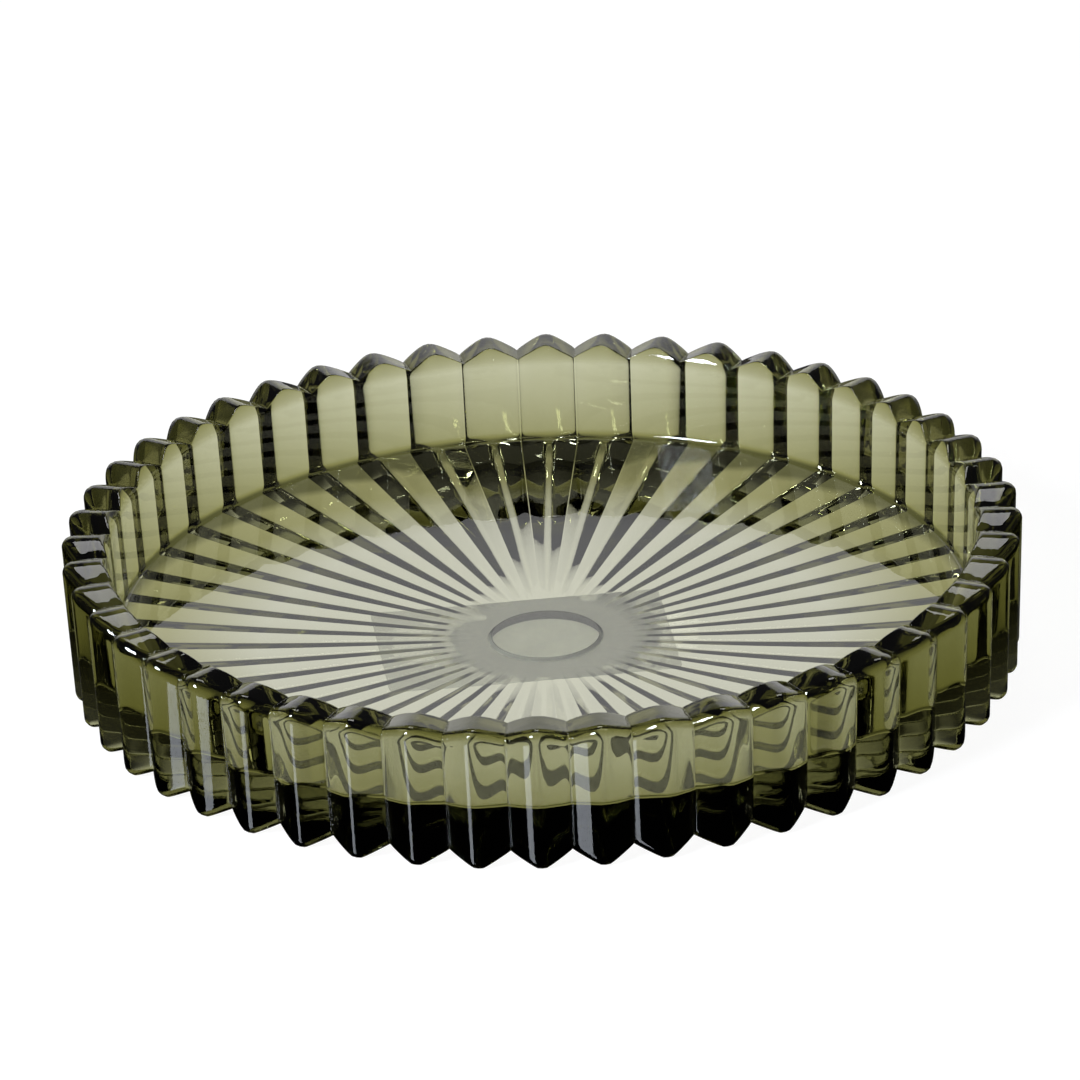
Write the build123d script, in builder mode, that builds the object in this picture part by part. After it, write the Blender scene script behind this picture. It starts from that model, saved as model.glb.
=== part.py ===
"""Fluted glass candle plate: a heavy round dish with a scalloped rim, and its blank label."""
import os
from math import cos, radians, sin, sqrt, tan

from build123d import *

os.makedirs("parts", exist_ok=True)

# Driving sizes of the dish, in millimetres
rim_radius = 100.0  # axis to a flute tip, just under the rim
dish_height = 31.4  # resting face to the top of a flute
wall_lean = 1.3  # how far the flute tips come in from rim to foot
wall_width = 10.0  # inner wall to flute tip, at the height of the flute tops
bore_lean = 0.8  # how far the inner wall comes in from there to the floor
floor_height = 7.8  # resting face to the flat middle of the floor
floor_flat_radius = 20.0
floor_rise = 3.4  # how far the floor climbs from its flat middle to the wall
floor_fillet = 2.5  # round corner between inner wall and floor
lip_flare = 2.0  # how far the inner wall opens out over the lip
lip_height = 3.5  # height of that opening

# Flutes: vertical ribs that run on over the rim
flute_count = 48
flute_depth = 2.9  # tip to valley on the outer wall
rim_drop = 2.3  # tip to valley over the rim
rim_round = 2.1  # outer corner of the rim
foot_round = 2.0  # outer corner of the foot
tip_round_share = 0.3  # roundness of a flute tip, as a share of half a flute's width
section_shares = (-1, -0.65, -0.3, 0, 0.3, 0.65, 1)  # across a flute, in half widths

# Underside: a foot ring, a shallow hollow inside it and a sunburst of grooves
foot_ring_width = 14.0  # rim radius to the inner edge of the ring that the plate stands on
foot_step = 0.1  # height of the step on the ring's inner edge
base_relief = 0.4  # height of the flat middle above the resting face
flat_radius = 41.0  # edge of the flat middle
groove_start = 20.0  # radius where a groove begins
groove_lead = 2.0  # how far inside that a groove's valley would meet the flat middle
groove_depth = 2.7  # height of a groove's valley at the foot of the flutes
groove_land_share = 0.15  # of the pitch, left flat between two grooves
groove_skirt_share = 0.2  # of a groove's height, by which its cutter runs on below the underside
mark_radius = 11.9  # round recess in the centre
mark_depth = 2.2
mark_taper = 12.0  # degrees

# Blank paper label stuck to the flat middle
label_length = 61.3
label_width = 39.5
label_corner = 1.5
label_thickness = 0.12
label_turn = 7.6  # degrees
label_x = -4.3
label_y = -1.4

overrun = 1.0  # how far cutters and joined solids run past each other

half_flute_angle = 180.0 / flute_count
foot_radius = rim_radius - wall_lean
bore_radius = rim_radius - wall_width
foot_ring_radius = rim_radius - foot_ring_width


def sink_share(share):
    """How deep the flute's section lies at a place across it: 0 at the tip, 1 in the valley."""
    full = sqrt(1 + tip_round_share**2) - tip_round_share
    return (sqrt(share**2 + tip_round_share**2) - tip_round_share) / full


def radial_plane(angle):
    """Upright plane through the axis: its X runs outward at the angle and its Y runs up."""
    turn = radians(angle)
    return Plane(origin=(0, 0, 0), x_dir=(cos(turn), sin(turn), 0), z_dir=(sin(turn), -cos(turn), 0))


def across_plane(radius):
    """Upright plane square to the X axis, at a distance from the axis of the dish."""
    return Plane(origin=(radius, 0, 0), x_dir=(0, 1, 0), z_dir=(1, 0, 0))


# One flute: the wall's section, lofted from valley to valley over the tip
with BuildPart() as flute:
    for share in section_shares:
        sink = sink_share(share)
        top_radius = rim_radius - flute_depth * sink
        top_height = dish_height - rim_drop * sink
        with BuildSketch(radial_plane(share * half_flute_angle)) as wall_section:
            with BuildLine():
                Polyline(
                    (foot_ring_radius, 0),
                    (top_radius - wall_lean, 0),
                    (top_radius, top_height),
                    (foot_ring_radius, top_height),
                    close=True,
                )
            make_face()
            rim_corner = wall_section.vertices().sort_by(Axis.X)[-1]
            fillet(rim_corner, radius=rim_round)
            foot_corner = wall_section.vertices().group_by(Axis.Y)[0].sort_by(Axis.X)[-1]
            fillet(foot_corner, radius=foot_round)
    loft()


# Groove cutter: a wedge whose ridge climbs outward, lying under the X axis
underside = (
    (groove_start, base_relief),
    (flat_radius, base_relief),
    (foot_ring_radius, 0),
    (rim_radius + overrun, 0),
)
valley_slope = (groove_depth - base_relief) / (foot_radius - groove_start + groove_lead)

with BuildPart() as groove:
    for radius, ground in underside:
        half_width = radius * tan(radians(half_flute_angle)) * (1 - groove_land_share)
        valley = base_relief + valley_slope * (radius - groove_start + groove_lead)
        skirt_width = half_width * (1 + groove_skirt_share)
        skirt_top = ground - groove_skirt_share * (valley - ground)
        with BuildSketch(across_plane(radius)):
            with BuildLine():
                Polyline(
                    (-skirt_width, -overrun),
                    (skirt_width, -overrun),
                    (skirt_width, skirt_top),
                    (0, valley),
                    (-skirt_width, skirt_top),
                    close=True,
                )
            make_face()
    loft(ruled=True)


core_top = floor_height + floor_rise + floor_fillet + overrun

# The glass plate: flutes round a thick base, then the bore, the sunburst and the centre mark
with BuildPart() as glass_plate:
    with BuildSketch(Plane.XZ):
        with BuildLine():
            Polyline(
                (0, base_relief),
                (flat_radius, base_relief),
                (foot_ring_radius + overrun, foot_step),
                (foot_ring_radius + overrun, core_top),
                (0, core_top),
                close=True,
            )
        make_face()
    revolve(axis=Axis.Z)
    with PolarLocations(0, flute_count, start_angle=90):
        add(flute.part, clean=False)
    with BuildSketch(Plane.XZ) as bore_section:
        with BuildLine():
            middle = Line((0, floor_height), (floor_flat_radius, floor_height))
            wall_foot = (bore_radius - bore_lean, floor_height + floor_rise)
            climb = TangentArc(middle @ 1, wall_foot, tangent=middle % 1)
            wall = Line(climb @ 1, (bore_radius, dish_height - lip_height))
            lip = TangentArc(wall @ 1, (bore_radius + lip_flare, dish_height), tangent=wall % 1)
            lip_end = lip @ 1 + (lip % 1) * overrun
            Polyline(lip @ 1, lip_end, (0, lip_end.Y), middle @ 0)
        make_face()
        floor_corner = bore_section.vertices().group_by(Axis.Y)[1].sort_by(Axis.X)[-1]
        fillet(floor_corner, radius=floor_fillet)
    revolve(axis=Axis.Z, mode=Mode.SUBTRACT)
    with PolarLocations(0, flute_count, start_angle=90 + half_flute_angle):
        add(groove.part, mode=Mode.SUBTRACT, clean=False)
    with BuildSketch(Plane.XY):
        Circle(mark_radius)
    extrude(amount=base_relief + mark_depth, taper=mark_taper, mode=Mode.SUBTRACT)

glass_plate.part.label = "glass_plate"
export_step(glass_plate.part, "parts/glass_plate.step")


# The label: a thin sheet under the flat middle, turned as it was stuck on
label_plane = Plane(
    origin=(label_x, label_y, base_relief - label_thickness),
    x_dir=(cos(radians(label_turn)), sin(radians(label_turn)), 0),
    z_dir=(0, 0, 1),
)
with BuildPart() as base_label:
    with BuildSketch(label_plane):
        RectangleRounded(label_length, label_width, label_corner)
    extrude(amount=label_thickness)

base_label.part.label = "base_label"
export_step(base_label.part, "parts/base_label.step")
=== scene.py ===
# %% [markdown]
# # A pressed-glass candle plate
#
# The object is one heavy round dish of smoke-olive glass with a fluted wall, a scalloped rim
# and a sunburst of grooves under its base. A blank paper label is stuck to the underside.
# This script dresses the measured model: it makes the fine glass skin, the glass itself with
# its colour in depth, the paper, and a plain studio round them. What is made here has to
# stay inside it.

# %% Tools and the measured frame
import math

import bmesh
import bpy
from mathutils import Matrix, Vector


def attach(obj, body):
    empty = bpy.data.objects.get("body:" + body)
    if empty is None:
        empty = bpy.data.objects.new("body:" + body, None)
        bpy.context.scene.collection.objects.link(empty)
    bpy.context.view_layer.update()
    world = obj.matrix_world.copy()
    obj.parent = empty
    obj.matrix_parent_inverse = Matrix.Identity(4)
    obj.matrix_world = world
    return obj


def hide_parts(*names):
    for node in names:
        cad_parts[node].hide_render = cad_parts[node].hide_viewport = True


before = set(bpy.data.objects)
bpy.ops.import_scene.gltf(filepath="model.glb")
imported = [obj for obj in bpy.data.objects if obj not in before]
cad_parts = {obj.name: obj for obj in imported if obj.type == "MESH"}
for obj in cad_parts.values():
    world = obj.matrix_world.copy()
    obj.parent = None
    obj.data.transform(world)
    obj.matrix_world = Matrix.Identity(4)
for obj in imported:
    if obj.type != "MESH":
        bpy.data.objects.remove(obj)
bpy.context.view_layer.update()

# %% [markdown]
# ## The camera
#
# The photograph was taken with a long lens from about 25 degrees above the table, a little
# turned and tilted. A camera could be aimed with a constraint, but the tilt has to match the
# photograph too, so its right, up and backward directions are worked out and set as one
# matrix. It comes first, because everything else is judged through it.

# %% Camera
camera_turn = math.radians(1.587)
camera_rise = math.radians(24.74)
camera_roll = math.radians(-2.435)
camera_place = Vector((-0.00035, -1.85745, 0.88346))
lens_mm, sensor_mm, far_limit = 327.9, 36.0, 50

across = Vector((1, 0, 0))
upward = Vector((0, math.sin(camera_rise), math.cos(camera_rise)))
behind = Vector((0, -math.cos(camera_rise), math.sin(camera_rise)))
right = across * math.cos(camera_roll) + upward * math.sin(camera_roll)
up = upward * math.cos(camera_roll) - across * math.sin(camera_roll)
camera_data = bpy.data.cameras.new("camera")
camera_data.lens, camera_data.sensor_width = lens_mm, sensor_mm
camera_data.clip_end = far_limit
camera = bpy.data.objects.new("camera", camera_data)
bpy.context.collection.objects.link(camera)
camera.matrix_world = Matrix.Rotation(camera_turn, 4, "Z") @ (
    Matrix.Translation(camera_place) @ Matrix((right, up, behind)).transposed().to_4x4())
bpy.context.scene.camera = camera
print("camera at", [round(v, 3) for v in camera.matrix_world.translation])

# %% [markdown]
# ## The section of the dish
#
# On the real object the glass runs in one skin from the floor up the inner wall, over the
# scalloped rim, down the flutes and under the base. Such a skin could be pushed into shape by
# hand, but it follows a rule: a section is spun round the axis, and each of its points moves
# inward, down or up between one flute tip and the next. So a list of stations is enough, each
# with its place at a flute's tip and how far it moves in the valley. Glass shows every
# wrong normal, so stations stand close on both sides of a sharp corner.

# %% Sizes of the dish: the measured model's, but for a tighter round between floor and wall
mm = 0.001
rim_radius, dish_height, wall_lean = 100 * mm, 31.4 * mm, 1.3 * mm
wall_width, bore_lean = 10 * mm, 0.8 * mm
floor_height, floor_flat_radius, floor_rise, floor_fillet = 7.8 * mm, 20 * mm, 3.4 * mm, 1.6 * mm
lip_flare, lip_height = 2.0 * mm, 3.5 * mm
flutes, flute_depth, rim_drop = 48, 2.9 * mm, 2.3 * mm
rim_round, foot_round = 2.1 * mm, 2.0 * mm
base_relief, foot_ring_width, flat_radius = 0.4 * mm, 14 * mm, 41 * mm
groove_start, groove_rise_start, groove_top = 20 * mm, 18 * mm, 2.7 * mm
mark_radius, mark_depth, mark_taper = 11.9 * mm, 2.2 * mm, math.radians(12)
print("dish", round(2 * rim_radius / mm), "mm across and", round(dish_height / mm, 1), "mm high")

# %% Stations of the floor: flat in the middle, then an arc that climbs to the corner
stations = []


def station(radius, height, inward=0.0, down=0.0, rise=0.0, flare=0.0):
    """One point of the section at a flute's tip, and how far it moves in the valley."""
    stations.append((radius, height, inward, down, rise, flare))


quarter = math.pi / 2
bore_radius = rim_radius - wall_width
wall_foot, lip_start = bore_radius - bore_lean, dish_height - lip_height
floor_run = wall_foot - floor_flat_radius
climb_radius = (floor_run ** 2 + floor_rise ** 2) / (2 * floor_rise)
floor_slope = math.asin(floor_run / climb_radius)
wall_slope = math.atan2(bore_lean, lip_start - floor_height - floor_rise)
corner_reach = floor_fillet / math.sin((quarter + floor_slope + wall_slope) / 2)
corner_aim = 1.5 * quarter + (floor_slope - wall_slope) / 2
fillet_x = wall_foot + corner_reach * math.cos(corner_aim)
fillet_y = floor_height + floor_rise + corner_reach * math.sin(corner_aim)
climb_run = fillet_x + floor_fillet * math.sin(floor_slope) - floor_flat_radius
climb_shares = (0.1, 0.25, 0.4, 0.55, 0.7, 0.85, 0.95, 0.99)
for radius in (0, 0.5 * floor_flat_radius, floor_flat_radius):
    station(radius, floor_height)
for share in climb_shares:
    run = climb_run * share
    station(floor_flat_radius + run,
            floor_height + climb_radius - math.sqrt(climb_radius ** 2 - run ** 2))
print("floor:", len(stations), "stations, slope at its edge", round(math.degrees(floor_slope), 1))


# %% Stations of the inner wall, from its round corner to the lip
def between(low, high, share):
    return low + (high - low) * share


def turn(centre, radius, first, last, steps, **sink):
    """A round corner between two angles."""
    for step in range(steps + 1):
        angle = between(first, last, step / steps)
        station(centre[0] + radius * math.cos(angle), centre[1] + radius * math.sin(angle), **sink)


turn((fillet_x, fillet_y), floor_fillet, floor_slope - quarter, -wall_slope, 10)
wall_start = fillet_y - floor_fillet * math.sin(wall_slope)
inner_wall_shares = (0.04, 0.35, 0.7, 0.98)
lip_shares = (0.1, 0.25, 0.4, 0.55, 0.7, 0.82, 0.92, 0.98)
for share in inner_wall_shares:
    height = between(wall_start, lip_start, share)
    station(bore_radius - (lip_start - height) * math.tan(wall_slope), height)
for share in lip_shares:
    station(bore_radius, lip_start + lip_height * share, down=rim_drop * share, flare=1)
print("with the inner wall:", len(stations), "stations")


# %% Stations of the rim, the outer wall and the foot
def wall_at(height):
    """Radius of a flute's tip on the outer wall, which leans in towards the foot."""
    return rim_radius - wall_lean * (1 - height / dish_height)


def ground(radius):
    """How high the tips of the underside lie at a radius: 0 on the foot ring."""
    share = (foot_ring_radius - radius) / (foot_ring_radius - flat_radius)
    return base_relief * min(max(share, 0.0), 1.0)


def groove_rise(radius):
    """How high a groove's valley lies over the tips at a radius."""
    share = (radius - groove_rise_start) / (foot_radius - groove_rise_start)
    return max(0.0, between(base_relief, groove_top, share) - ground(radius))


foot_ring_radius, foot_radius = rim_radius - foot_ring_width, rim_radius - wall_lean
rim_low = dish_height - rim_round
rim_end, base_start = wall_at(rim_low) - rim_round, wall_at(foot_round) - foot_round
foot_rise = groove_rise(foot_radius)
rim_shares = (0.03, 0.08, 0.3, 0.6, 0.95)
outer_wall_shares = (0.02, 0.25, 0.5, 0.75, 0.98)
for share in rim_shares:
    station(between(bore_radius, rim_end, share), dish_height, flute_depth * share, rim_drop,
            flare=1 - share)
turn((rim_end, rim_low), rim_round, quarter, 0, 8, inward=flute_depth, down=rim_drop)
for share in outer_wall_shares:
    height = between(rim_low, foot_round, share)
    station(wall_at(height), height, flute_depth, rim_drop * (1 - share), foot_rise * share)
turn((base_start, foot_round), foot_round, 0, -quarter, 7, inward=flute_depth, rise=foot_rise)
print("with the flutes:", len(stations), "stations")

# %% Stations of the underside: grooves, flat middle and centre mark
wave_reach = 0.25  # share of the base over which the flutes' wave dies out
base_shares = (0.02, 0.08, 0.135, 0.145, 0.25, 0.35, 0.45, 0.55, 0.65, 0.72, 0.82, 0.88, 0.93, 0.97, 1)
mark_shares = (0.05, 0.2, 0.5, 0.8, 0.97)
for share in base_shares:
    radius = between(base_start, groove_start, share)
    wave = max(0, 1 - share / wave_reach)
    station(radius, ground(radius), flute_depth * wave, rise=groove_rise(radius))
for radius in (groove_rise_start, mark_radius + 0.4 * mm, mark_radius):
    station(radius, base_relief)
for share in mark_shares:
    height = base_relief + mark_depth * share
    station(mark_radius - height * math.tan(mark_taper), height)
mark_top = base_relief + mark_depth
mark_top_radius = mark_radius - mark_top * math.tan(mark_taper)
for inset in (0.05 * mm, 0.2 * mm, 0.5 * mark_top_radius, mark_top_radius):
    station(mark_top_radius - inset, mark_top)
print("whole section:", len(stations), "stations")

# %% The section as a line of points that carry how they move
section_mesh = bpy.data.meshes.new("glass_section")
section_mesh.from_pydata([(radius, 0, height) for radius, height, *_ in stations],
                         [(i, i + 1) for i in range(len(stations) - 1)], [])
for column, name in ((2, "inward"), (3, "down"), (4, "rise"), (5, "flare")):
    values = section_mesh.attributes.new(name, "FLOAT", "POINT").data
    for point, row in zip(values, stations):
        point.value = row[column]
print("section carries", [item.name for item in section_mesh.attributes])

# %% [markdown]
# ## One way to write sums for nodes
#
# Blender's trees, for materials and for Geometry Nodes alike, do their sums with Math nodes.
# Laid out one by one they hide the formula, so a small class wraps a socket and adds the
# Math nodes when Python adds, multiplies or divides it. Any other node comes from one method,
# which takes the node's type, its settings and what goes into its sockets.


# %% Sums of sockets
class Sum:
    """A number that runs through a node tree; Python's operators add Math nodes to it."""

    def __init__(self, tree, socket):
        self.tree, self.socket = tree, socket

    def math(self, operation, *terms):
        return make(self.tree, "ShaderNodeMath", {"operation": operation}, dict(enumerate(terms)))

    def __add__(self, other): return self.math("ADD", self, other)
    def __radd__(self, other): return self.math("ADD", other, self)
    def __sub__(self, other): return self.math("SUBTRACT", self, other)
    def __rsub__(self, other): return self.math("SUBTRACT", other, self)
    def __mul__(self, other): return self.math("MULTIPLY", self, other)
    def __rmul__(self, other): return self.math("MULTIPLY", other, self)
    def __truediv__(self, other): return self.math("DIVIDE", self, other)
    def __rtruediv__(self, other): return self.math("DIVIDE", other, self)
    def __pow__(self, other): return self.math("POWER", self, other)
    def __rpow__(self, other): return self.math("POWER", other, self)
    def __abs__(self): return self.math("ABSOLUTE", self)

    def do(self, operation, *others):
        return self.math(operation, self, *others)


# %% Nodes
def set_stops(ramp, stops):
    """Gives a fresh colour ramp its stops, from left to right."""
    for place, _ in stops[1:-1]:
        ramp.elements.new(place)
    for element, (place, colour) in zip(ramp.elements, stops):
        element.position, element.color = place, colour


def add_node(tree, kind, settings=None, inputs=None):
    """A node with its settings made first, then its sockets given values or links."""
    node = tree.nodes.new(kind)
    for name, value in (settings or {}).items():
        if name == "stops":
            set_stops(node.color_ramp, value)
        else:
            setattr(node, name, value)
    for key, value in (inputs or {}).items():
        if isinstance(value, Sum):
            tree.links.new(value.socket, node.inputs[key])
        else:
            node.inputs[key].default_value = value
    return node


def make(tree, kind, settings=None, inputs=None, output=0):
    """The same, given back as a Sum of one of the node's outputs."""
    return Sum(tree, add_node(tree, kind, settings, inputs).outputs[output])


# %% [markdown]
# ## Spinning the section
#
# The flutes, the scallops of the rim and the sunburst below are the same 48 waves, so one
# Geometry Nodes tree makes them all. It lays out a flat grid with a row for each station and
# 22 columns for each flute, and then moves every point of the grid to its place round the
# axis. A Screw modifier would spin the section too, but it can't sink it between the tips.

# %% The tree and its inputs
spin_inputs = (
    ("Section", "NodeSocketGeometry"), ("Flutes", "NodeSocketInt"),
    ("Steps per flute", "NodeSocketInt"), ("Crowding", "NodeSocketFloat"),
    ("Tip roundness", "NodeSocketFloat"), ("Crease depth", "NodeSocketFloat"),
    ("Land share", "NodeSocketFloat"), ("Lip start", "NodeSocketFloat"),
    ("Lip bend", "NodeSocketFloat"), ("Lip sine", "NodeSocketFloat"),
    ("Glass", "NodeSocketMaterial"))
spin = bpy.data.node_groups.new("spin a fluted section", "GeometryNodeTree")
for title, kind in spin_inputs:
    spin.interface.new_socket(title, in_out="INPUT", socket_type=kind)
spin.interface.new_socket("Geometry", in_out="OUTPUT", socket_type="NodeSocketGeometry")
entry = spin.nodes.new("NodeGroupInput")
given = {title: Sum(spin, entry.outputs[title]) for title, _ in spin_inputs}
print("spinning tree takes", ", ".join(given))

# %% A grid with a row for each station and a column for each step round the axis
rows = make(spin, "GeometryNodeAttributeDomainSize", {"component": "MESH"},
            {"Geometry": given["Section"]})
columns = given["Flutes"] * given["Steps per flute"]
grid = make(spin, "GeometryNodeMeshGrid", None, {"Vertices X": columns + 1, "Vertices Y": rows})
index = make(spin, "GeometryNodeInputIndex")
column = ((index + 0.5) / rows).do("FLOOR")
row = index - column * rows


def sample(value, data_type):
    """What the section's point for this row carries."""
    return make(spin, "GeometryNodeSampleIndex", {"data_type": data_type, "domain": "POINT"},
                {"Geometry": given["Section"], "Value": value, "Index": row})


def at_station(name):
    """A named value of the section's point for this row."""
    return sample(make(spin, "GeometryNodeInputNamedAttribute", {"data_type": "FLOAT"},
                       {"Name": name}), "FLOAT")


def split(tree, vector):
    """A vector's X, Y and Z as three numbers."""
    parts = add_node(tree, "ShaderNodeSeparateXYZ", None, {0: vector})
    return [Sum(tree, parts.outputs[axis]) for axis in "XYZ"]


section_radius, _, section_height = split(
    spin, sample(make(spin, "GeometryNodeInputPosition"), "FLOAT_VECTOR"))
print("grid and stations:", len(spin.nodes), "nodes")

# %% How far a column stands from its flute's tip: 0 at the tip, 1 in the valley
flute = column / columns * given["Flutes"]
even = flute - (flute + 0.5).do("FLOOR")
crowded = even + given["Crowding"] * (even * math.tau).do("SINE") / math.tau
across_flute = abs(crowded) * 2
print("columns crowd into the valleys, where the glass bends light most")

# %% How deep the flutes' valleys and the grooves' valleys lie there
crease_power = 16  # the higher, the narrower the crease at the bottom of a valley
ridge_softness = 0.03  # how softly a land passes into a groove, as a share of half a flute
tip, crease, land = given["Tip roundness"], given["Crease depth"], given["Land share"]
full_hollow = (tip * tip + 1).do("SQRT") - tip
hollow = ((across_flute * across_flute + tip * tip).do("SQRT") - tip) / full_hollow
sink = hollow * (1 - crease) + crease * across_flute ** crease_power
beyond_land = (across_flute - land) / (1 - land)
cut = (beyond_land + (beyond_land * beyond_land + ridge_softness ** 2).do("SQRT")) / 2
print("valleys:", len(spin.nodes), "nodes")

# %% Each point's place, with the lip bent outward as far as its height asks
lip_bend_in, lip_sine_in = given["Lip bend"], given["Lip sine"]
spun_height = section_height - at_station("down") * sink + at_station("rise") * cut
lip_sine = (lip_sine_in + (spun_height - given["Lip start"]) / lip_bend_in).do("MINIMUM", 1.0)
lip_reach = (1 - lip_sine_in ** 2).do("SQRT") - (1 - lip_sine * lip_sine).do("SQRT")
spun_radius = (section_radius - at_station("inward") * sink
               + at_station("flare") * (lip_bend_in * lip_reach))
angle = (flute - even + crowded) / given["Flutes"] * math.tau
place = make(spin, "ShaderNodeCombineXYZ", None, {
    "X": spun_radius * angle.do("SINE"), "Y": spun_radius * angle.do("COSINE"), "Z": spun_height})
print("places:", len(spin.nodes), "nodes")

# %% The grid moved, welded at its seam and poles, smoothed and given its glass
weld_distance = 0.002 * mm
moved = make(spin, "GeometryNodeSetPosition", None, {"Geometry": grid, "Position": place})
closed = make(spin, "GeometryNodeMergeByDistance", None,
              {"Geometry": moved, "Distance": weld_distance})
smooth = make(spin, "GeometryNodeSetShadeSmooth", None, {"Geometry": closed})
real = make(spin, "GeometryNodeRealizeInstances", None, {"Geometry": smooth})
dressed = make(spin, "GeometryNodeSetMaterial", None,
               {"Geometry": real, "Material": given["Glass"]})
add_node(spin, "NodeGroupOutput", None, {0: dressed})
print("whole spinning tree:", len(spin.nodes), "nodes")

# %% [markdown]
# ## The glass
#
# Smoke-olive glass takes its colour from depth: the thin rim is nearly clear and the long way
# through the base is almost black. A coloured surface alone would tint both the same, so the
# body has a Volume Absorption. The flutes look a little deeper than their thickness gives,
# and a faint stain on the outside of the wall makes that up. The wall of the centre mark is
# matt, with painted shade: pale on its near half and near black on its far half, which draws
# the mark's dark crescent. The faint waviness of the pressed surface is a small bump, a
# little stronger near the rim.


# %% Helpers for materials
def new_material(name):
    """An empty node material and its tree."""
    material = bpy.data.materials.new(name)
    material.use_nodes = True
    material.node_tree.nodes.clear()
    return material, material.node_tree


def ease(value, low, high):
    """A smooth step from 0 at the low end to 1 at the high end, which may lie below it."""
    return make(value.tree, "ShaderNodeMapRange", {"interpolation_type": "SMOOTHSTEP"},
                {"Value": value, "From Min": low, "From Max": high})


def noise(tree, vector, scale, detail):
    return make(tree, "ShaderNodeTexNoise", None,
                {"Vector": vector, "Scale": scale, "Detail": detail}, "Fac")


def blend_tones(tree, share, first, second):
    return make(tree, "ShaderNodeMix", {"data_type": "RGBA"}, {0: share, 6: first, 7: second}, 2)


def blend_shaders(tree, share, first, second):
    return make(tree, "ShaderNodeMixShader", None, {0: share, 1: first, 2: second})


def matt_finish(tree, tone):
    return make(tree, "ShaderNodeBsdfPrincipled", None,
                {"Base Color": tone, "Roughness": 1.0, "Specular IOR Level": 0.0})


glass, tree = new_material("smoke_olive_glass")
on_glass = make(tree, "ShaderNodeTexCoord", output="Object")
glass_x, glass_y, glass_z = split(tree, on_glass)
from_axis = (glass_x * glass_x + glass_y * glass_y).do("SQRT")
print("material", glass.name)

# %% The matt wall of the centre mark, with painted shade on its far half
# Painted shade: the same matt wall is pale on its near half and near black on its far half.
painted_lit_tone, painted_shade_tone = (0.9, 0.9, 0.88, 1), (0.02, 0.02, 0.02, 1)
mark_wall_radius = mark_radius - 0.3 * mm
on_mark_wall = ease(abs(from_axis - mark_wall_radius), 0.5 * mm, 0.3 * mm)
below_mark_top = ease(glass_z, mark_top, mark_depth)
shaded_far_half = ease(glass_y, -1 * mm, 4 * mm)
frost_and_painted_shade = matt_finish(tree, blend_tones(tree, shaded_far_half, painted_lit_tone, painted_shade_tone))
print("centre mark's wall at", round(mark_wall_radius / mm, 1), "mm")

# %% The stain, the waviness and the depth
clear, olive_stain = (1, 1, 1, 1), (0.62, 0.63, 0.38, 1)
stain_start, stain_full = rim_radius - 6.0 * mm, rim_radius - 4.5 * mm
stain = blend_tones(tree, ease(from_axis, stain_start, stain_full), clear, olive_stain)
flat_waves, rim_waves, wave_height = 0.12, 0.88, 0.3 * mm
near_rim = ease(glass_z, dish_height - 6 * mm, dish_height - 2 * mm)
waves = noise(tree, on_glass, 160.0, 2.0)
ripple = make(tree, "ShaderNodeBump", None, {
    "Strength": 0.3, "Distance": wave_height, "Height": waves * (flat_waves + rim_waves * near_rim)})
surface = make(tree, "ShaderNodeBsdfPrincipled", None, {
    "Base Color": stain, "Roughness": 0.0, "IOR": 1.52, "Transmission Weight": 1.0,
    "Normal": ripple})
depth = make(tree, "ShaderNodeVolumeAbsorption", None,
             {"Color": (0.28, 0.28, 0.0, 1), "Density": 50.0})
add_node(tree, "ShaderNodeOutputMaterial", None, {
    "Surface": blend_shaders(tree, on_mark_wall * below_mark_top, surface, frost_and_painted_shade),
    "Volume": depth})
print("glass has", len(tree.nodes), "nodes")

# %% [markdown]
# ## Growing the dish
#
# The tree is run as a modifier on the section. The export wants a plain mesh, so the result
# is copied off and the modifier goes away. The skin may come out inside out, so the
# sign of its volume is looked at, and its faces are turned round where that is negative.

# %% Spin the section into the dish
def grow(tree, source, name, inputs):
    """Runs a Geometry Nodes tree on a source mesh and gives back a plain mesh object."""
    carrier = bpy.data.objects.new(name + "_source", source)
    bpy.context.collection.objects.link(carrier)
    modifier = carrier.modifiers.new("grow", "NODES")
    modifier.node_group = tree
    for item in tree.interface.items_tree:
        if item.in_out == "INPUT" and item.name in inputs:
            modifier[item.identifier] = inputs[item.name]
    carrier.update_tag()
    ready = carrier.evaluated_get(bpy.context.evaluated_depsgraph_get())
    mesh = bpy.data.meshes.new_from_object(ready)
    mesh.name = name
    carrier.modifiers.remove(modifier)
    bpy.data.objects.remove(carrier)
    piece = bpy.data.objects.new(name, mesh)
    bpy.context.collection.objects.link(piece)
    return piece


lip_chord, lip_lean = math.hypot(lip_flare, lip_height), math.atan2(lip_flare, lip_height)
dish = grow(spin, section_mesh, "glass_dish", {
    "Flutes": flutes, "Steps per flute": 22, "Crowding": 0.65,
    "Tip roundness": 0.3, "Crease depth": 0.05, "Land share": 0.15,
    "Lip start": lip_start, "Lip bend": lip_chord / (2 * math.sin(lip_lean - wall_slope)),
    "Lip sine": math.sin(wall_slope), "Glass": glass})
skin = bmesh.new()
skin.from_mesh(dish.data)
if skin.calc_volume(signed=True) < 0:
    bmesh.ops.reverse_faces(skin, faces=skin.faces)
    skin.to_mesh(dish.data)
open_edges = sum(1 for edge in skin.edges if len(edge.link_faces) != 2)
print("dish:", len(skin.faces), "faces,", round(skin.calc_volume() * 1e6, 1), "ml,",
      open_edges, "open edges")
skin.free()
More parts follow.
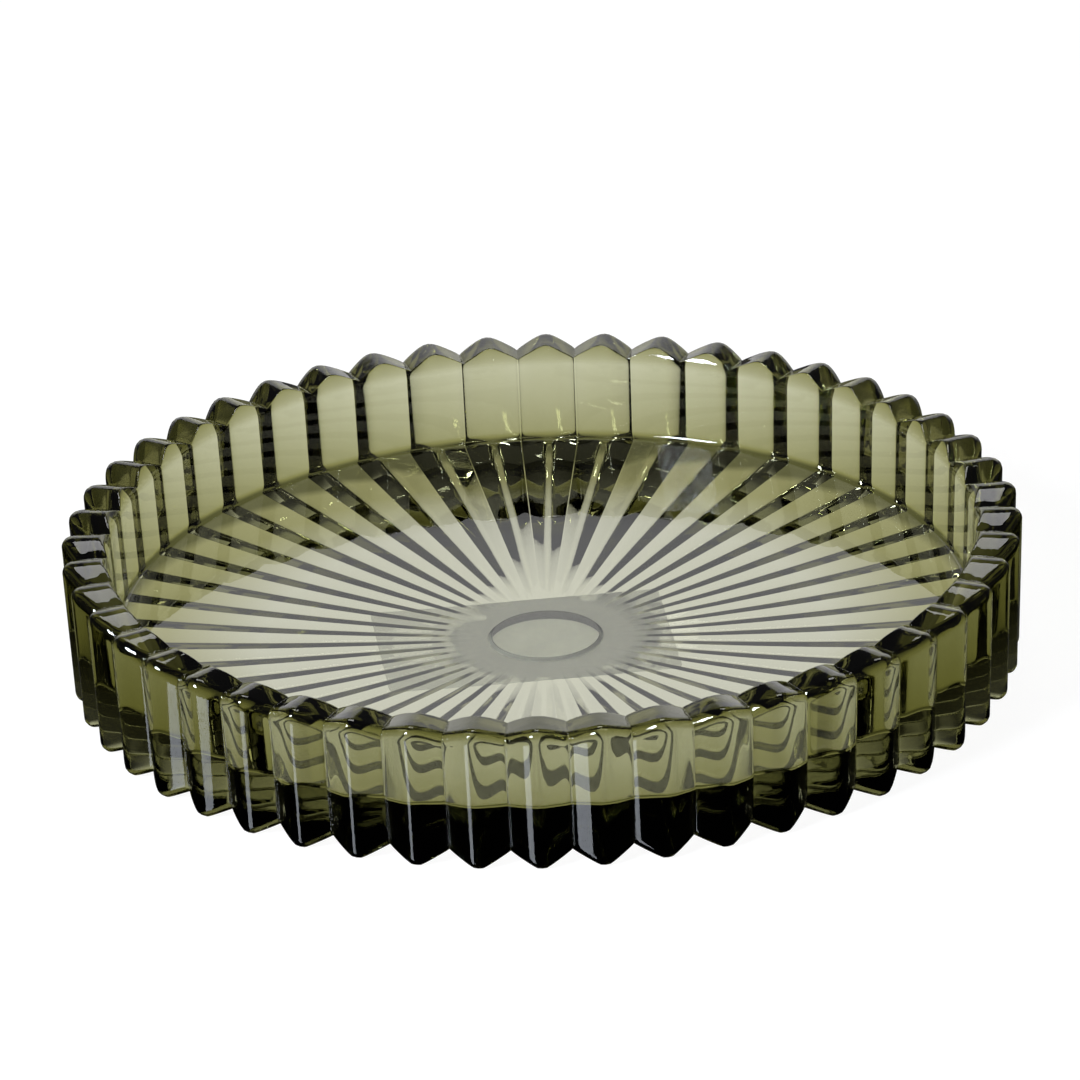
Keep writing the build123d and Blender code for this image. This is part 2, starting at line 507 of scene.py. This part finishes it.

# %% [markdown]
# ## The paper label
#
# A plain paper label is stuck under the flat middle of the base and shows through the glass.
# Its tone is painted shade and painted light: grey where it touches the glass, and paler
# where it stands off: beyond the flat middle, where the grooves start, and under the centre
# mark. A picture could show that, but two masks by the distance from the axis, made ragged
# with noise, do it from every side. The paper scatters light on its face, lets some glow
# through, and lets a little straight past.

# %% Where the paper stands off the glass
paper, tree = new_material("label_paper")
on_paper = make(tree, "ShaderNodeTexCoord", output="Object")
paper_x, paper_y, _ = split(tree, on_paper)
fibres = noise(tree, on_paper, 900.0, 6.0)
blotches = noise(tree, on_paper, 170.0, 3.0)
fibre_reach, blotch_reach, right_lean = 3 * mm, 26 * mm, 0.1
ragged = (paper_x * paper_x + paper_y * paper_y).do("SQRT") + (fibres - 0.5) * fibre_reach
beyond_flat = ease(ragged + (blotches - 0.5) * blotch_reach - right_lean * paper_x,
                   groove_start + 1 * mm, groove_start + 3.5 * mm)
under_mark = ease(ragged, mark_radius + 0.5 * mm, mark_radius - 0.5 * mm)
# Painted light makes the paper paler where it stands off; the fibres add the paper's own random tone.
painted_light_paling, fibre_paling, darkest_fibre = 0.7, 0.9, 0.35
stands_off = beyond_flat.do("MAXIMUM", under_mark)
fibres_and_painted_light = stands_off * painted_light_paling + (fibres - darkest_fibre) * fibre_paling
print("material", paper.name)

# %% Paper that scatters, glows and lets a little light straight through
# Painted shade and painted light: one paper, grey where it is stuck and pale where it stands off.
shaded_stuck_tone, lit_free_tone = (0.68, 0.68, 0.69, 1), (0.92, 0.93, 0.82, 1)
paper_face = matt_finish(tree, blend_tones(tree, fibres_and_painted_light, shaded_stuck_tone, lit_free_tone))
stuck_glow = make(tree, "ShaderNodeBsdfTranslucent", None, {"Color": shaded_stuck_tone})
free_glow = make(tree, "ShaderNodeBsdfTranslucent", None, {"Color": lit_free_tone})
paper_glow = blend_shaders(tree, fibres_and_painted_light, stuck_glow, free_glow)
thin_paper = blend_shaders(tree, 0.5, paper_face, paper_glow)
straight_through = make(tree, "ShaderNodeBsdfTransparent")
stuck_clearness, added_clearness = 0.27, 0.38
clearness = stuck_clearness + added_clearness * beyond_flat
add_node(tree, "ShaderNodeOutputMaterial", None, {
    "Surface": blend_shaders(tree, clearness, thin_paper, straight_through)})
print("paper has", len(tree.nodes), "nodes")

# %% The label's outline, with round corners
label_length, label_width, label_corner = 61.3 * mm, 39.5 * mm, 1.5 * mm
label_place, label_turn = Vector((-4.3 * mm, -1.4 * mm, 0)), math.radians(7.6)
label_top, label_bottom = base_relief - 0.03 * mm, base_relief - 0.12 * mm
corner_steps = 6
corner_x, corner_y = label_length / 2 - label_corner, label_width / 2 - label_corner
stick_on = Matrix.Translation(label_place) @ Matrix.Rotation(label_turn, 4, "Z")
outline = []
for side_x, side_y, first in ((1, 1, 0), (-1, 1, 1), (-1, -1, 2), (1, -1, 3)):
    for step in range(corner_steps + 1):
        angle = quarter * (first + step / corner_steps)
        outline.append(stick_on @ Vector((side_x * corner_x + label_corner * math.cos(angle),
                                          side_y * corner_y + label_corner * math.sin(angle), 0)))
print("label outline:", len(outline), "points")

# %% The label as a thin closed sheet, just clear of the glass above it
sheet = bmesh.new()
tops = [sheet.verts.new(point + Vector((0, 0, label_top))) for point in outline]
lows = [sheet.verts.new(point + Vector((0, 0, label_bottom))) for point in outline]
sheet.faces.new(tops)
sheet.faces.new(list(reversed(lows)))
for i in range(len(tops)):
    j = (i + 1) % len(tops)
    sheet.faces.new((tops[j], tops[i], lows[i], lows[j]))
label_mesh = bpy.data.meshes.new("paper_label")
sheet.to_mesh(label_mesh)
sheet.free()
label_mesh.materials.append(paper)
label = bpy.data.objects.new("paper_label", label_mesh)
bpy.context.collection.objects.link(label)
print("label:", len(label_mesh.polygons), "faces")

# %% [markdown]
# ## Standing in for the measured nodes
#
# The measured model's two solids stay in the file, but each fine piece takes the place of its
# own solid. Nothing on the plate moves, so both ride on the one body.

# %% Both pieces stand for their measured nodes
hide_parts("glass_plate")
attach(dish, "root")
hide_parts("base_label")
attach(label, "root")
print("dressed:", dish.name, "and", label.name)

# %% [markdown]
# ## The table
#
# The photograph's background is plain white. Lamps strong enough to burn a floor out would
# burn the object too, so the table's material asks what kind of ray it meets. The camera sees
# it almost white by itself, with a little matt white that keeps a faint shadow. Rays that
# come through the glass see how bright the table lies below the dish: paler under the thin
# middle, deep under the wall. Reflections see a weak polish, and the rest is matt white.

# %% The dish's painted shadow on the table, shown to rays through the glass, by distance from the axis
table_white, tree = new_material("white_table")
table_x, table_y, _ = split(tree, make(tree, "ShaderNodeTexCoord", output="Object"))
# Painted shadow: pale light in the middle, olive shade and deep shade under the wall, white far out.
lit_middle_tone, shade, deep_shade = (0.75, 0.755, 0.66, 1), (0.48, 0.47, 0.245, 1), (0.2, 0.2, 0.1, 1)
white, shade_reach = (1, 1, 1, 1), 160 * mm
rings = ((60, lit_middle_tone), (80, shade), (88.8, shade), (92, deep_shade),
         (100, deep_shade), (106.4, shade), (160, white))
table_shade = make(tree, "ShaderNodeValToRGB",
                   {"stops": [(radius * mm / shade_reach, tone) for radius, tone in rings]},
                   {0: (table_x * table_x + table_y * table_y).do("SQRT") / shade_reach})
print("rings of shade:", len(rings))

# %% The table's answer to each kind of ray
self_lit = make(tree, "ShaderNodeEmission", None, {"Color": white, "Strength": 0.94})
shadow_catcher = make(tree, "ShaderNodeBsdfDiffuse", None, {"Color": (0.13, 0.13, 0.13, 1)})
answers = (
    ("Is Glossy Ray", make(tree, "ShaderNodeBsdfGlossy", None,
                           {"Color": (0.07, 0.07, 0.07, 1), "Roughness": 0.05})),
    ("Is Transmission Ray", make(tree, "ShaderNodeEmission", None,
                                 {"Color": table_shade, "Strength": 1.0})),
    ("Is Camera Ray", make(tree, "ShaderNodeAddShader", None, {0: self_lit, 1: shadow_catcher})))
kinds_of_ray = add_node(tree, "ShaderNodeLightPath")
table_finish = make(tree, "ShaderNodeBsdfDiffuse", None, {"Color": (0.85, 0.85, 0.85, 1)})
for kind, answer in answers:
    asked = Sum(tree, kinds_of_ray.outputs[kind])
    table_finish = blend_shaders(tree, asked, table_finish, answer)
add_node(tree, "ShaderNodeOutputMaterial", None, {"Surface": table_finish})
print("table has", len(tree.nodes), "nodes")

# %% The table itself, a hair below the foot so that no two faces share a plane
table_reach, table_gap = 3.0, 0.05 * mm
table_mesh = bpy.data.meshes.new("table")
table_corners = [(x * table_reach, y * table_reach, 0) for x, y in ((-1, -1), (1, -1), (1, 1), (-1, 1))]
table_mesh.from_pydata(table_corners, [], [(0, 1, 2, 3)])
table_mesh.materials.append(table_white)
table = bpy.data.objects.new("table", table_mesh)
table.location.z = -table_gap
bpy.context.collection.objects.link(table)
print("table", 2 * table_reach, "m square")

# %% [markdown]
# ## The room and the lamps
#
# Clear glass has hardly a look of its own: it shows the room. Behind the dish the photograph's
# room had a white backdrop of limited width and height, and the rest was dark, which gives
# the flutes their dark edges. A sheet of white could stand there, but the world can be painted
# by direction, and it costs less. Two soft lamps add the lit facets: one overhead, towards the
# rear, and a stronger one at the front left, which also lights the paper.

# %% A white backdrop in a dim room
world = bpy.data.worlds.new("studio room")
bpy.context.scene.world = world
world.use_nodes = True
tree = world.node_tree
tree.nodes.clear()
way_x, way_y, way_z = split(tree, make(tree, "ShaderNodeTexCoord", output="Generated"))
dim, nearest = 0.06, 0.01
to_the_rear = ease(way_y, -0.1, 0.25)
above_backdrop = ease(way_z, 0.48, 0.56)
within_backdrop = ease(abs(way_x) / way_y.do("MAXIMUM", nearest), 0.9, 0.3)
level = dim + to_the_rear * (1 - above_backdrop) * within_backdrop * (1 - dim)
camera_sees = Sum(tree, add_node(tree, "ShaderNodeLightPath").outputs["Is Camera Ray"])
room = make(tree, "ShaderNodeBackground", None,
            {"Color": white, "Strength": level.do("MAXIMUM", camera_sees)})
add_node(tree, "ShaderNodeOutputWorld", None, {"Surface": room})
print("room has", len(tree.nodes), "nodes")


# %% Lamps
def softbox(name, azimuth, rise, size, radiance, colour=(1, 1, 1)):
    """A soft lamp that looks at the dish, from degrees off the rear and above the table."""
    lamp_distance = 1.6
    turned, lifted = math.radians(azimuth), math.radians(rise)
    aim = Vector((math.sin(turned) * math.cos(lifted), math.cos(turned) * math.cos(lifted),
                  math.sin(lifted)))
    light = bpy.data.lights.new(name, "AREA")
    light.shape, light.size, light.size_y, light.color = "RECTANGLE", size[0], size[1], colour
    light.energy = radiance * math.pi * size[0] * size[1]
    lamp = bpy.data.objects.new(name, light)
    bpy.context.collection.objects.link(lamp)
    lamp.location = aim * lamp_distance
    lamp.rotation_euler = (-lamp.location).to_track_quat("-Z", "Y").to_euler()
    print(name, "at", [round(v, 2) for v in lamp.location], "with", round(light.energy, 1), "W")


softbox("top_box", 0, 64, (0.5, 0.5), 4)
softbox("front_box", -136, 36, (0.36, 0.5), 50, (0.93, 1.0, 1.1))
bpy.context.scene.view_settings.view_transform = "Standard"
